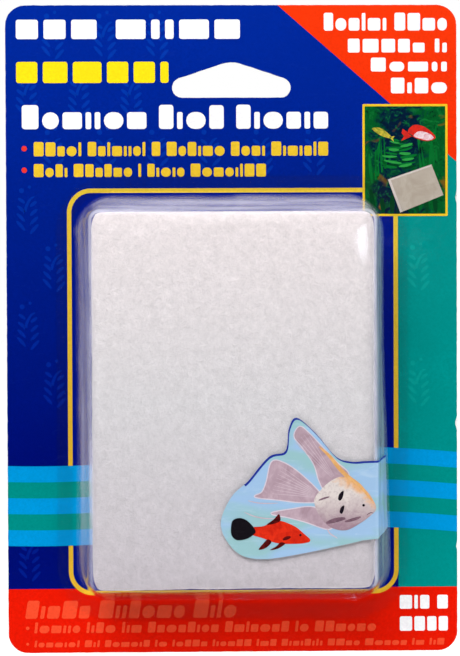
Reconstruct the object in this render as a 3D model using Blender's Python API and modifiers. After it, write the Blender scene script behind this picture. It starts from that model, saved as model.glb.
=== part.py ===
"""Carded algae scrubber pad: a printed card with a hang slot, a clear blister heat-sealed to the card,
the fibre pad inside the blister, and a die-cut label on the blister's face.

Metres, +Z up. The pack hangs upright: X runs across the card, +Y goes into the card's back, and the
pack's face looks along -Y. The origin is the top of the hang slot, on the card's back.
"""

import math

import bmesh
import bpy

MM = 0.001

# driving dimensions
CARD_WIDTH = 123.8 * MM
CARD_HEIGHT = 177.8 * MM
CARD_THICKNESS = 0.5 * MM
CARD_CORNER_RADIUS = 5.5 * MM

SLOT_DROP = 15.8 * MM  # from the card's top edge down to the top of the hang slot
SLOT_WIDTH = 32.4 * MM
SLOT_HEIGHT = 9.5 * MM
SLOT_END_RADIUS = 2.65 * MM
SLOT_TOP_RADIUS = 8.0 * MM

PAD_WIDTH = 75.6 * MM
PAD_HEIGHT = 101.0 * MM
PAD_THICKNESS = 18.4 * MM
PAD_CORNER_RADIUS = 4.5 * MM
PAD_EDGE_RADIUS = 2.0 * MM

POCKET_DROP = 91.9 * MM  # from the top of the hang slot down to the pocket's centre
FILM = 0.3 * MM
FLANGE_WIDTH = 6.0 * MM
DRAFT_INSET = 4.3 * MM  # how far each wall leans in between the flange and the face
BASE_CORNER_RADIUS = 9.5 * MM
FACE_CORNER_RADIUS = 4.5 * MM
FACE_EDGE_RADIUS = 2.0 * MM
BASE_EDGE_RADIUS = 0.8 * MM

SEAL_THICKNESS = 0.1 * MM
SEAL_MARGIN = 0.5 * MM  # the seal stops this far inside the flange's two edges
LABEL_THICKNESS = 0.1 * MM
LABEL_FOOT = 3.2 * MM  # the label ends at least this far in front of the card's back

CLEARANCE = 0.3 * MM  # round the loose pad
SKIN_GAP = 0.15 * MM  # between bonded sheets, which are thinner than the clearance

# the label's outline in millimetres from the pocket's centre: round at its left, with a tall pointed fin.
# The first and last points are the ends of its straight edge, on the blister's right wall.
LABEL_CURVE = (
    (42.0, -36.1),
    (31.7, -37.5),
    (18.0, -40.3),
    (7.1, -41.8),
    (0.4, -39.7),
    (-3.6, -32.8),
    (-0.9, -25.4),
    (3.8, -20.9),
    (9.2, -14.6),
    (13.6, -13.1),
    (14.5, -7.2),
    (16.6, -4.3),
    (21.6, -8.4),
    (27.0, -14.6),
    (31.0, -16.0),
    (42.0, -15.6),
)

# worked out from the driving dimensions
CARD_CENTRE_Z = SLOT_DROP - CARD_HEIGHT / 2
CARD_FRONT = CARD_THICKNESS
SEAL_BACK = CARD_FRONT + SKIN_GAP
FLANGE_FRONT = SEAL_BACK + SEAL_THICKNESS + SKIN_GAP + FILM
PAD_BACK = CARD_FRONT + CLEARANCE
FACE_DEPTH = PAD_BACK + PAD_THICKNESS + CLEARANCE + FILM  # the blister's outer face
FACE_HALF_WIDTH = PAD_WIDTH / 2 + CLEARANCE + FILM
FACE_HALF_HEIGHT = PAD_HEIGHT / 2 + CLEARANCE + FILM
BASE_HALF_WIDTH = FACE_HALF_WIDTH + DRAFT_INSET
BASE_HALF_HEIGHT = FACE_HALF_HEIGHT + DRAFT_INSET

CORNER_STEPS = 8
EDGE_STEPS = 5
LABEL_STEPS = 5
WELD = 1e-6
SHARP_ANGLE = math.radians(35)

UPRIGHT = (math.radians(90), 0, 0)  # turns a flat outline to face -Y, its local +Z towards the viewer


def material(name, colour, roughness, alpha=1.0):
    mat = bpy.data.materials.new(name)
    mat.use_nodes = True
    shader = mat.node_tree.nodes["Principled BSDF"]
    shader.inputs["Base Color"].default_value = (*colour, 1)
    shader.inputs["Roughness"].default_value = roughness
    shader.inputs["Metallic"].default_value = 0
    shader.inputs["Alpha"].default_value = alpha
    mat.diffuse_color = (*colour, alpha)
    return mat


def arc(centre_x, centre_y, radius, start, end, steps):
    """Points on an arc, angles in degrees."""
    points = []
    for step in range(steps + 1):
        angle = math.radians(start + (end - start) * step / steps)
        points.append((centre_x + radius * math.cos(angle), centre_y + radius * math.sin(angle)))
    return points


def rounded_rectangle(half_width, half_height, radius):
    """Anticlockwise from the right-hand side, with the same number of points whatever the size."""
    x, y = half_width - radius, half_height - radius
    points = []
    for sign_x, sign_y, start in ((1, 1, 0), (-1, 1, 90), (-1, -1, 180), (1, -1, 270)):
        points += arc(sign_x * x, sign_y * y, radius, start, start + 90, CORNER_STEPS)
    return points


def hang_slot():
    """A delta slot: two round ends joined by a flat foot, and a round top between two slopes.
    Its top is at the local origin."""
    end_x = SLOT_WIDTH / 2 - SLOT_END_RADIUS
    end_y = SLOT_END_RADIUS - SLOT_HEIGHT
    drop = end_y + SLOT_TOP_RADIUS
    lean = math.atan2(drop, end_x)
    reach = math.hypot(end_x, drop)
    slope = math.degrees(math.asin((SLOT_TOP_RADIUS - SLOT_END_RADIUS) / reach) - lean)
    points = arc(end_x, end_y, SLOT_END_RADIUS, -90, 90 - slope, CORNER_STEPS)
    points += arc(0, -SLOT_TOP_RADIUS, SLOT_TOP_RADIUS, 90 - slope, 90 + slope, CORNER_STEPS)
    points += arc(-end_x, end_y, SLOT_END_RADIUS, 90 + slope, 270, CORNER_STEPS)
    return points


def between(p, q, r, s, t):
    """Catmull-Rom: the value a share t of the way from q to r, with p and s as their neighbours."""
    straight = 2 * q + (r - p) * t
    bent = (2 * p - 5 * q + 4 * r - s) * t**2 + (3 * q - p - 3 * r + s) * t**3
    return (straight + bent) / 2


def smooth_curve(points, steps):
    """A smooth curve through every point, open at its ends."""
    padded = [points[0], *points, points[-1]]
    curve = []
    for a, b, c, d in zip(padded, padded[1:], padded[2:], padded[3:]):
        for step in range(steps):
            t = step / steps
            curve.append((between(a[0], b[0], c[0], d[0], t), between(a[1], b[1], c[1], d[1], t)))
    curve.append(points[-1])
    return curve


def flat_outline(name, outlines, thickness, collection):
    """A filled flat shape standing upright; every outline after the first is a hole."""
    curve = bpy.data.curves.new(name, "CURVE")
    curve.dimensions = "2D"
    curve.fill_mode = "BOTH"
    curve.extrude = thickness / 2
    for outline in outlines:
        spline = curve.splines.new("POLY")
        spline.points.add(len(outline) - 1)
        for point, (x, y) in zip(spline.points, outline):
            point.co = (x, y, 0, 1)
        spline.use_cyclic_u = True
    shape = bpy.data.objects.new(name, curve)
    shape.rotation_euler = UPRIGHT
    collection.objects.link(shape)
    return shape


def loft(name, sections, collection):
    """An open surface through rounded rectangles, closed by a flat face over the last one. A section is
    (half width, half height, corner radius, depth in front of the card's back)."""
    mesh = bpy.data.meshes.new(name)
    surface = bpy.data.objects.new(name, mesh)
    collection.objects.link(surface)
    build = bmesh.new()
    rings = []
    for half_width, half_height, radius, depth in sections:
        outline = rounded_rectangle(half_width, half_height, radius)
        rings.append([build.verts.new((x, -depth, z)) for x, z in outline])
    for ring, following in zip(rings, rings[1:]):
        for index in range(len(ring)):
            after = (index + 1) % len(ring)
            build.faces.new((ring[index], ring[after], following[after], following[index]))
    build.faces.new(rings[-1])
    bmesh.ops.recalc_face_normals(build, faces=build.faces)
    if build.faces[-1].normal.y > 0:
        bmesh.ops.reverse_faces(build, faces=build.faces)
    build.to_mesh(mesh)
    build.free()
    return surface


def section(inset, corner, depth, grow):
    """A rounded rectangle this far inside the foot of the walls, grown outwards by grow."""
    half_width = BASE_HALF_WIDTH - inset + grow
    half_height = BASE_HALF_HEIGHT - inset + grow
    return (half_width, half_height, corner + grow, depth + grow)


def pocket_sections(grow=0.0):
    """The blister's outer skin from the foot of its walls to its face: a small flare out of the flange,
    a straight leaning wall, and a round edge on to the face."""
    quarter = [math.radians(90 * step / EDGE_STEPS) for step in range(EDGE_STEPS + 1)]
    sections = []
    for angle in quarter:
        out = BASE_EDGE_RADIUS * (1 - math.sin(angle))
        depth = FLANGE_FRONT + BASE_EDGE_RADIUS * (1 - math.cos(angle))
        sections.append(section(-out, BASE_CORNER_RADIUS + out, depth, grow))
    for angle in quarter:
        rounding = FACE_EDGE_RADIUS * (1 - math.cos(angle))
        depth = FACE_DEPTH - FACE_EDGE_RADIUS * (1 - math.sin(angle))
        sections.append(section(DRAFT_INSET + rounding, FACE_CORNER_RADIUS - rounding, depth, grow))
    return sections


def add_film(surface, thickness):
    """Thickness behind the skin, towards the pad."""
    film = surface.modifiers.new("film", "SOLIDIFY")
    film.thickness = thickness
    film.offset = -1
    film.use_even_offset = True


def shade(thing, mat):
    thing.data.materials.append(mat)
    if thing.type == "MESH":
        thing.data.shade_smooth()
        thing.data.set_sharp_from_angle(angle=SHARP_ANGLE)


def backing_card(parts):
    outline = rounded_rectangle(CARD_WIDTH / 2, CARD_HEIGHT / 2, CARD_CORNER_RADIUS)
    slot_up = -CARD_CENTRE_Z
    slot = [(x, y + slot_up) for x, y in hang_slot()]
    card = flat_outline("backing_card", (outline, slot), CARD_THICKNESS, parts)
    card.location = (0, -CARD_THICKNESS / 2, CARD_CENTRE_Z)
    shade(card, material("printed_board", (0.0, 0.025, 0.36), 0.35))
    return card


def heat_seal_band(parts):
    outer = FLANGE_WIDTH - SEAL_MARGIN
    inner = BASE_EDGE_RADIUS + SEAL_MARGIN
    outlines = [
        rounded_rectangle(BASE_HALF_WIDTH + out, BASE_HALF_HEIGHT + out, BASE_CORNER_RADIUS + out)
        for out in (outer, inner)
    ]
    band = flat_outline("heat_seal_band", outlines, SEAL_THICKNESS, parts)
    band.location = (0, -SEAL_BACK - SEAL_THICKNESS / 2, -POCKET_DROP)
    shade(band, material("seal_lacquer", (0.75, 0.78, 0.8), 0.3, alpha=0.3))
    return band


def blister(parts, pull):
    flange_edge = (
        BASE_HALF_WIDTH + FLANGE_WIDTH,
        BASE_HALF_HEIGHT + FLANGE_WIDTH,
        BASE_CORNER_RADIUS + FLANGE_WIDTH,
        FLANGE_FRONT,
    )
    shell = loft("blister", [flange_edge, *pocket_sections()], parts)
    shell.parent = pull
    add_film(shell, FILM)
    shade(shell, material("clear_film", (0.9, 0.93, 0.95), 0.08, alpha=0.25))
    return shell


def scrubber_pad(parts):
    """A flat outline whose edges are rounded by the curve's own bevel, which grows outwards."""
    edge = PAD_EDGE_RADIUS
    outline = rounded_rectangle(PAD_WIDTH / 2 - edge, PAD_HEIGHT / 2 - edge, PAD_CORNER_RADIUS - edge)
    pad = flat_outline("scrubber_pad", (outline,), PAD_THICKNESS - 2 * edge, parts)
    pad.data.bevel_depth = edge
    pad.data.bevel_resolution = 2
    pad.location = (0, -PAD_BACK - PAD_THICKNESS / 2, -POCKET_DROP)
    shade(pad, material("white_fibre", (0.72, 0.70, 0.71), 0.95))
    return pad


def welded_mesh(shape):
    """The curve's evaluated mesh with its caps joined on, in the curve's own place. The curve is removed."""
    bpy.context.view_layer.update()
    evaluated = shape.evaluated_get(bpy.context.evaluated_depsgraph_get())
    mesh = bpy.data.meshes.new_from_object(evaluated)
    weld = bmesh.new()
    weld.from_mesh(mesh)
    bmesh.ops.remove_doubles(weld, verts=weld.verts, dist=WELD)
    weld.to_mesh(mesh)
    weld.free()
    solid = bpy.data.objects.new(shape.name, mesh)
    solid.matrix_world = shape.matrix_world
    bpy.data.objects.remove(shape)
    return solid


def label_cutter(cutters, pull):
    """A prism of the label's outline, from just in front of the walls' foot to past the face."""
    outline = [(x * MM, z * MM) for x, z in smooth_curve(LABEL_CURVE, LABEL_STEPS)]
    prism = flat_outline("label_cutter", (outline,), FACE_DEPTH, cutters)
    prism.location = (0, -LABEL_FOOT - FACE_DEPTH / 2, 0)
    cutter = welded_mesh(prism)
    cutters.objects.link(cutter)
    cutter.parent = pull
    cutter.hide_render = True
    cutter.display_type = "WIRE"
    return cutter


def fish_label(parts, cutters, pull):
    sheet = loft("fish_label", pocket_sections(grow=SKIN_GAP + LABEL_THICKNESS), parts)
    sheet.parent = pull
    add_film(sheet, LABEL_THICKNESS)
    outline = sheet.modifiers.new("die_cut", "BOOLEAN")
    outline.operation = "INTERSECT"
    outline.solver = "EXACT"
    outline.object = label_cutter(cutters, pull)
    shade(sheet, material("label_film", (0.38, 0.60, 0.84), 0.3))
    return sheet


def main():
    for thing in list(bpy.data.objects):
        bpy.data.objects.remove(thing)
    parts = bpy.data.collections.new("carded_scrubber_pad")
    cutters = bpy.data.collections.new("cutters")
    for collection in (parts, cutters):
        bpy.context.scene.collection.children.link(collection)
    pull = bpy.data.objects.new("blister_pull", None)  # the blister and its label lift off together
    pull.location = (0, 0, -POCKET_DROP)
    parts.objects.link(pull)
    backing_card(parts)
    heat_seal_band(parts)
    blister(parts, pull)
    scrubber_pad(parts)
    fish_label(parts, cutters, pull)


main()
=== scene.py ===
"""The looks of the carded scrubber pad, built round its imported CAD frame.

Metres, +Z up: the pack hangs upright and its face looks along -Y. Art on the card is placed in millimetres
from the card's centre, and art on the label in millimetres from the pocket's.
"""

import random
from math import atan2, copysign, cos, dist, hypot, pi, radians, sin

import bmesh
import bpy
from mathutils import Matrix, Vector, noise


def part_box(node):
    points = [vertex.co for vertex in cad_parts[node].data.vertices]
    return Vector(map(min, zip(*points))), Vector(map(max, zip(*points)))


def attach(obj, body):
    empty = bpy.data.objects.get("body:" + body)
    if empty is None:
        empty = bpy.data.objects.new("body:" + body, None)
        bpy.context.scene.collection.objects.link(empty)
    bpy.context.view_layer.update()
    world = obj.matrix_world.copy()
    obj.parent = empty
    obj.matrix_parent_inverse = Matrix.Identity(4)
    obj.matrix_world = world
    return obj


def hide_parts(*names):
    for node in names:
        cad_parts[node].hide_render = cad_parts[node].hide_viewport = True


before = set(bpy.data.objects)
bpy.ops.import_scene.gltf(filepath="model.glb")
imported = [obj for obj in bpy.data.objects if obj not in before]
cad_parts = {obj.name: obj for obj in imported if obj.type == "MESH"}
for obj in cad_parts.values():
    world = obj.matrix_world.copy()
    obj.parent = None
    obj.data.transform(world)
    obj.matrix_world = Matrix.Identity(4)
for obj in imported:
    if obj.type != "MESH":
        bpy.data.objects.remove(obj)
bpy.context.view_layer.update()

MM = 0.001
WHITE = (1, 1, 1, 1)

# places read from the frame; X and Z of a card, face or base are half its width and height
card_low, card_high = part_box("backing_card")
film_low, film_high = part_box("blister")
pad_low, pad_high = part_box("scrubber_pad")

CARD_FACE = card_low.y
CARD_CENTRE_Z = (card_low.z + card_high.z) / 2
CARD_X = (card_high.x - card_low.x) / 2
CARD_Z = (card_high.z - card_low.z) / 2
POCKET_Z = (film_low.z + film_high.z) / 2

# the blister's build: its face corner and its edges are tighter than the CAD's
FILM = 0.3 * MM
FLANGE_WIDTH = 6 * MM
BASE_CORNER = 9.5 * MM
FACE_CORNER = 3.3 * MM
FACE_EDGE = 1.4 * MM
BASE_EDGE = 0.6 * MM
SKIN = pad_low.y - film_low.y  # from the pad's face to the blister's outer skin
FACE_Y = film_low.y
FLANGE_Y = film_high.y - FILM
FACE_X = (pad_high.x - pad_low.x) / 2 + SKIN
FACE_Z = (pad_high.z - pad_low.z) / 2 + SKIN
BASE_X = (film_high.x - film_low.x) / 2 - FLANGE_WIDTH
DRAFT = BASE_X - FACE_X
LEAN = atan2(DRAFT, FLANGE_Y - FACE_Y - FACE_EDGE)

# printed layers lie this far apart, each thinner than the step
INK_STEP = 0.017 * MM
INK_THICKNESS = 0.008 * MM
UPRIGHT = Matrix.Rotation(radians(90), 4, "X")  # a flat shape's +Z turns to face the viewer


def given(thing, **settings):
    """The same thing with its settings made."""
    for key, value in settings.items():
        setattr(thing, key, value)
    return thing


# ---- materials


def paint(colour):
    """Screen values from 0 to 255 made linear; a socket or a linear colour is kept."""
    if isinstance(colour, bpy.types.NodeSocket) or len(colour) == 4:
        return colour
    linear = []
    for value in colour:
        share = value / 255
        linear.append(share / 12.92 if share <= 0.04045 else ((share + 0.055) / 1.055) ** 2.4)
    return (*linear, 1)


class Graph:
    """The nodes of a new material or of a world. An input is a value or another node's output."""

    def __init__(self, owner, space="Object"):
        self.owner = bpy.data.materials.new(owner) if isinstance(owner, str) else owner
        self.owner.use_nodes = True
        self.tree = self.owner.node_tree
        self.tree.nodes.clear()
        self.place = self.add("TexCoord").outputs[space]

    def add(self, kind, inputs=None, **settings):
        node = given(self.tree.nodes.new("ShaderNode" + kind), **settings)
        for key, value in (inputs or {}).items():
            if isinstance(value, bpy.types.NodeSocket):
                self.tree.links.new(value, node.inputs[key])
            elif value is not None:
                node.inputs[key].default_value = value
        return node

    def axis(self, letter):
        return self.add("SeparateXYZ", {"Vector": self.place}).outputs[letter]

    def noise(self, size, detail=2, roughness=0.5, stretch=(1, 1, 1), distortion=0):
        """Cloudy values, with features of about this many millimetres."""
        mapped = self.add("Mapping", {"Vector": self.place, "Scale": stretch}).outputs[0]
        inputs = {"Vector": mapped, "Scale": 1 / (size * MM), "Detail": detail, "Roughness": roughness}
        return self.add("TexNoise", {**inputs, "Distortion": distortion}).outputs["Fac"]

    def ramp(self, value, low, high, to_low=0, to_high=1):
        inputs = {"Value": value, "From Min": low, "From Max": high, "To Min": to_low, "To Max": to_high}
        return self.add("MapRange", inputs).outputs[0]

    def maths(self, operation, first, second=0):
        return self.add("Math", {0: first, 1: second}, operation=operation).outputs[0]

    def times(self, first, second):
        return self.maths("MULTIPLY", first, second)

    def plus(self, first, second):
        return self.maths("ADD", first, second)

    def blend(self, factor, first, second):
        inputs = {"Factor": factor, "A": paint(first), "B": paint(second)}
        return self.add("Mix", inputs, data_type="RGBA").outputs["Result"]

    def fade(self, value, low, high, first, second, most=1):
        """The first colour, turning to the second as a value goes from low to high."""
        return self.blend(self.ramp(value, low, high, 0, most), first, second)

    def shade(self, value, colour):
        return self.add("HueSaturation", {"Value": value, "Color": paint(colour)}).outputs[0]

    def bump(self, height, strength, distance, under=None):
        inputs = {"Height": height, "Strength": strength, "Distance": distance * MM, "Normal": under}
        return self.add("Bump", inputs).outputs["Normal"]

    def over(self, amount, under, top):
        return self.add("MixShader", {0: amount, 1: under.outputs[0], 2: top.outputs[0]})

    def finish(self, shader, output="OutputMaterial"):
        self.add(output, {"Surface": shader.outputs[0]})
        return self.owner

    def opaque(self, colour, roughness, specular=0.5, normal=None, extra=None):
        """Finishes a solid material."""
        inputs = {"Base Color": colour, "Roughness": roughness, "Specular IOR Level": specular}
        return self.finish(self.add("BsdfPrincipled", {**inputs, "Normal": normal, **(extra or {})}))


def ink(name, colour, low_colour=None, roughness=0.16):
    """Offset ink under gloss varnish, mottled and scuffed. It fades to the low colour towards the foot."""
    graph = Graph(name + "_ink")
    tone = colour
    if low_colour is not None:
        low = CARD_CENTRE_Z - CARD_Z * 0.4
        tone = graph.fade(graph.axis("Z"), card_high.z, low, colour, low_colour)
    darker = graph.shade(0.9, tone)
    speckled = graph.fade(graph.noise(0.7, 4, 0.6), 0.3, 0.7, darker, graph.shade(1.08, tone))
    drift = graph.ramp(graph.noise(16), 0.35, 0.65)
    toned = graph.blend(graph.times(drift, 0.5), speckled, darker)
    scuffs = graph.noise(2.2, 3, 0.6, (0.7, 1, 1.2), 0.8)
    gloss = graph.ramp(scuffs, 0.45, 0.75, roughness, roughness + 0.18)
    board = graph.bump(graph.noise(1.1, 3), 0.12, 0.02)
    waves = graph.bump(graph.noise(30, 1), 0.3, 0.2, board)
    return graph.opaque(toned, gloss, 0.04, waves)


def board_material():
    """Bare solid bleached board: the card's core, edge and back."""
    graph = Graph("bleached_board")
    fibres = graph.noise(1.6, 5, 0.65, (1, 1, 0.35))
    colour = graph.fade(fibres, 0.35, 0.65, (226, 224, 218), (244, 243, 239))
    specked = graph.fade(graph.noise(0.8, 1), 0.72, 0.76, colour, (196, 190, 178))
    grain = graph.bump(graph.noise(0.35, 3), 0.25, 0.03)
    return graph.opaque(specked, 0.75, normal=grain)


def film_material():
    """Clear thermoformed film: glossy where it is seen edge on, and hazy in long bands where forming has
    stretched it, which the mesh's own "haze" says.
    The haze's amount per side is also painted light and shade, and on the right side it carries a painted
    teal reflection."""
    graph = Graph("clear_film_look")
    haze = graph.add("Attribute", attribute_name="haze").outputs["Fac"]
    edge_on = graph.add("LayerWeight", {"Blend": 0.5}).outputs["Facing"]
    bands = graph.noise(2.3, 3, 0.55, (0.05, 1, 0.05), 0.25)
    dapples = graph.noise(2.2, 3, 0.6, (0.25, 0.5, 0.25), 0.6)
    marks = graph.times(graph.ramp(bands, 0.36, 0.62, 0.3, 1), graph.ramp(dapples, 0.3, 0.7, 0.75, 1))
    scuffs = graph.ramp(graph.noise(0.9, 5, 0.7, (1, 1, 3.5)), 0.66, 0.76)
    wave = graph.bump(bands, graph.maths("MINIMUM", haze, 0.25), 0.2)
    matter = graph.ramp(haze, 0.05, 0.25, 0.06, 0.32)
    gloss = graph.add("BsdfGlossy", {"Color": (0.86, 0.9, 1, 1), "Roughness": matter, "Normal": wave})
    clear = graph.add("BsdfTransparent", {"Color": (0.999, 0.999, 1, 1)})
    base = graph.ramp(graph.axis("Y"), FACE_Y + 3 * MM, FACE_Y + 5 * MM, 0.012, 0)
    grazing = graph.times(graph.maths("POWER", edge_on, 6), graph.ramp(haze, 0.05, 0.2, 1.3, 0.3))
    skin = graph.over(graph.plus(grazing, base), clear, gloss)
    surface = graph.add("NewGeometry").outputs["Normal"]
    forward = graph.add("VectorMath", {0: surface, 1: (0, -0.8, 0)}, operation="ADD").outputs[0]
    # painted reflection: past the face's right edge the haze turns teal, the colour of the print the film
    # reflects there; elsewhere it is the film's own pale lavender
    milk_colour_and_painted_reflection = graph.fade(graph.axis("X"), FACE_X - MM, FACE_X + MM, (224, 222, 236), (166, 206, 208))
    milky = graph.add("BsdfDiffuse", {"Color": milk_colour_and_painted_reflection, "Normal": forward})
    milk = graph.maths("MINIMUM", graph.times(haze, marks), 0.88)
    return graph.finish(graph.over(graph.plus(milk, graph.times(scuffs, 0.01)), skin, milky))


def fibre_material():
    """Needled white fibre: mottled by uneven density, with a felted tangle in the bump, and painted shade:
    light at the pad's top, darker at its foot.
    """
    graph = Graph("needled_fibre")
    height = graph.axis("Z")
    # painted shade: the fibre's colour runs from light at the pad's top to dark at its foot
    top, middle, foot = PAD_PAINTED_SHADE_TONES
    upper = graph.fade(height, pad_high.z, POCKET_Z, top, middle)
    base = graph.fade(height, POCKET_Z, pad_low.z, upper, foot)
    clumps = graph.ramp(graph.noise(3.2, 3, 0.6), 0.3, 0.7)
    tufts = graph.ramp(graph.noise(1.3, 4, 0.7, distortion=0.8), 0.32, 0.68)
    strands = graph.noise(0.5, 5, 0.75, distortion=2.5)
    mottle = graph.plus(graph.times(clumps, 0.4), graph.times(tufts, 0.6))
    colour = graph.blend(mottle, graph.shade(0.86, base), graph.shade(1.1, base))
    shaded = graph.blend(graph.ramp(strands, 0.4, 0.54, 0.27, 0), colour, (158, 154, 160))
    pits = graph.bump(tufts, 0.5, 0.25, graph.bump(strands, 0.5, 0.3))
    return graph.opaque(shaded, 0.95, 0.1, pits, {"Sheen Weight": 0.1, "Sheen Roughness": 0.6})


def fin_ink(name, light, dark, patch=5):
    """A fin or a scaled flank: fine rays and wider patches of a darker tone."""
    graph = Graph(name + "_ink")
    streaks = graph.noise(0.9, 3, 0.6, (1, 1, 0.3), 1.5)
    tone = graph.fade(graph.noise(patch, 3, 0.6, distortion=1), 0.35, 0.65, light, dark)
    return graph.opaque(graph.fade(streaks, 0.5, 0.75, tone, dark, 0.5), 0.25, 0.1)


# ---- shapes


def arc(centre_x, centre_y, radius, start, end, steps):
    """Points on an arc, angles in degrees."""
    angles = [radians(start + (end - start) * step / steps) for step in range(steps + 1)]
    return [(centre_x + radius * cos(angle), centre_y + radius * sin(angle)) for angle in angles]


def bent(radius, turn):
    """How far an edge's bend has fallen back and drawn in after this turn from the flat."""
    return radius * (1 - cos(turn)), radius * (1 - sin(turn))


def corner_arcs(left, bottom, right, top, radius, steps):
    """The four corners of a rounded rectangle, anticlockwise from the upper right."""
    x0, x1, z0, z1 = left + radius, right - radius, bottom + radius, top - radius
    middles = ((x1, z1), (x0, z1), (x0, z0), (x1, z0))
    return [arc(x, z, radius, 90 * turn, 90 * turn + 90, steps) for turn, (x, z) in enumerate(middles)]


def rounded_box(box, radius, steps, margin=0):
    """A rounded rectangle, larger all round than its box by a margin."""
    left, bottom, right, top = box
    grown = (left - margin, bottom - margin, right + margin, top + margin)
    return sum(corner_arcs(*grown, radius, steps), [])


def dot(x, z, radius):
    return arc(x, z, radius, 0, 360, 24)[:-1]


def between(p, q, r, s, t):
    """Catmull-Rom: the value a share t of the way from q to r, between p and s."""
    curved = (2 * p - 5 * q + 4 * r - s) * t**2 + (3 * q - p - 3 * r + s) * t**3
    return (2 * q + (r - p) * t + curved) / 2


def smooth(points, steps=6, closed=True):
    """A smooth curve through every point."""
    count = len(points)
    curve = []
    for index in range(count if closed else count - 1):
        near = [index + offset for offset in (-1, 0, 1, 2)]
        group = [points[n % count if closed else min(max(n, 0), count - 1)] for n in near]
        for step in range(steps):
            curve.append(tuple(between(*axis, step / steps) for axis in zip(*group)))
    return curve if closed else curve + [tuple(points[-1])]


def heading(behind, ahead):
    return Vector((ahead[0] - behind[0], ahead[1] - behind[1])).normalized()


def stroke(path, width):
    """The outline of a pen stroke along a path, pointed at its ends."""
    left, right = [], []
    last = len(path) - 1
    for index, (x, z) in enumerate(path):
        run = heading(path[max(index - 1, 0)], path[min(index + 1, last)])
        half = width / 2 * sin(pi * (index + 0.35) / (last + 0.7)) ** 0.5
        left.append((x - run.y * half, z + run.x * half))
        right.append((x + run.y * half, z - run.x * half))
    return left + right[::-1]


def pen(points, width, steps=6):
    return stroke(smooth(points, steps, closed=False), width)


def leaf(x, z, length, width, tilt, bend):
    """A pointed leaf from its foot, tilted this many degrees from the horizontal."""
    lean = radians(tilt)
    path = []
    for step in range(7):
        along = length * step / 6
        across = bend * length * sin(pi * step / 12)
        right = x + along * cos(lean) - across * sin(lean)
        path.append((right, z + along * sin(lean) + across * cos(lean)))
    return stroke(path, width)


def pushed(outline, margin):
    """A closed line moved to its left by a margin, which is a function of the place."""
    moved = []
    for index, (x, z) in enumerate(outline):
        run = heading(outline[index - 1], outline[(index + 1) % len(outline)])
        step = margin(x, z)
        moved.append((x - run.y * step, z + run.x * step))
    return moved


def placed(name, data):
    thing = bpy.data.objects.new(name, data)
    bpy.context.scene.collection.objects.link(thing)
    return thing


def evaluated(thing):
    """A new mesh, with the thing's modifiers made part of it."""
    return bpy.data.meshes.new_from_object(thing.evaluated_get(bpy.context.evaluated_depsgraph_get()))


def edit(mesh, change):
    build = bmesh.new()
    build.from_mesh(mesh)
    change(build)
    build.to_mesh(mesh)
    build.free()


def sliced(mesh, planes):
    """Divides the mesh's faces along planes, each a point and a normal."""

    def cut(build):
        for point, normal in planes:
            geometry = build.verts[:] + build.edges[:] + build.faces[:]
            bmesh.ops.bisect_plane(build, geom=geometry, plane_co=point, plane_no=normal)

    edit(mesh, cut)


def flat_mesh(name, outlines, thickness):
    """A thin flat plate from outlines in millimetres; an outline inside another is a hole."""
    curve = bpy.data.curves.new(name, "CURVE")
    given(curve, dimensions="2D", fill_mode="BOTH", extrude=thickness / 2)
    for outline in outlines:
        spline = curve.splines.new("POLY")
        spline.points.add(len(outline) - 1)
        for point, (x, y) in zip(spline.points, outline):
            point.co = (x * MM, y * MM, 0, 1)
        spline.use_cyclic_u = True
    holder = placed(name, curve)
    bpy.context.view_layer.update()
    mesh = evaluated(holder)
    bpy.data.objects.remove(holder)
    edit(mesh, lambda build: bmesh.ops.remove_doubles(build, verts=build.verts, dist=INK_THICKNESS / 20))
    return mesh


def lofted(name, rings, capped=True):
    """A skin through rings of points, with its last ring closed."""
    mesh = bpy.data.meshes.new(name)

    def skin(build):
        loops = [[build.verts.new(point) for point in points] for points in rings]
        for loop, following in zip(loops, loops[1:]):
            for index in range(len(loop)):
                after = (index + 1) % len(loop)
                build.faces.new((loop[index], loop[after], following[after], following[index]))
        build.faces.new(loops[-1])
        if capped:
            build.faces.new(loops[0][::-1])
        bmesh.ops.recalc_face_normals(build, faces=build.faces)

    edit(mesh, skin)
    return mesh


def piece(name, mesh, materials, body):
    """A mesh in its place in the frame becomes a piece that rides on a body."""
    thing = placed(name, mesh)
    mesh.materials.clear()
    for material in materials:
        mesh.materials.append(material)
    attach(thing, body)
    return thing


def on_card(mesh, level):
    """Stands a flat mesh up on the card, at one of the print's layers."""
    mesh.transform(Matrix.Translation((0, CARD_FACE - level * INK_STEP, CARD_CENTRE_Z)) @ UPRIGHT)


def printed(name, outlines, level, material):
    """Ink on the card."""
    mesh = flat_mesh(name, outlines, INK_THICKNESS)
    on_card(mesh, level)
    piece(name, mesh, [material], "card")


# ---- the card

# the print's layout, millimetres from the card's centre; a box is its left, bottom, right and top
BORDER = (-44.6, -72.4, 45, 38.15)  # the middle of the yellow line
BORDER_RADIUS = 6
BORDER_WIDTH = 1.2
TEAL_LEFT = 45.6
FOOT_TOP = -71.2
CORNER_TOP = (12.6, 88.9)  # the red corner's edge runs from here
CORNER_END = (61.9, 45.8)  # to here
INSET = (35.95, 30.95, 59.35, 61.67)
INSET_LINE = 0.62
SLOT_MIDDLE = (0, 72)


def front_loops(mesh):
    """The front faces' boundaries as closed lists of (x, z), the longest first."""
    edges = set()
    for face in mesh.polygons:
        if face.normal.y < -0.9:
            corners = [tuple(round(c, 7) for c in mesh.vertices[i].co) for i in face.vertices]
            edges |= set(zip(corners, corners[1:] + corners[:1]))
    following = {start: end for start, end in sorted(edges) if (end, start) not in edges}
    loops = []
    while following:
        loops.append([])
        step = next(iter(following))
        while step in following:
            loops[-1].append((step[0], step[2]))
            step = following.pop(step)
    return sorted(loops, key=len, reverse=True)


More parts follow.
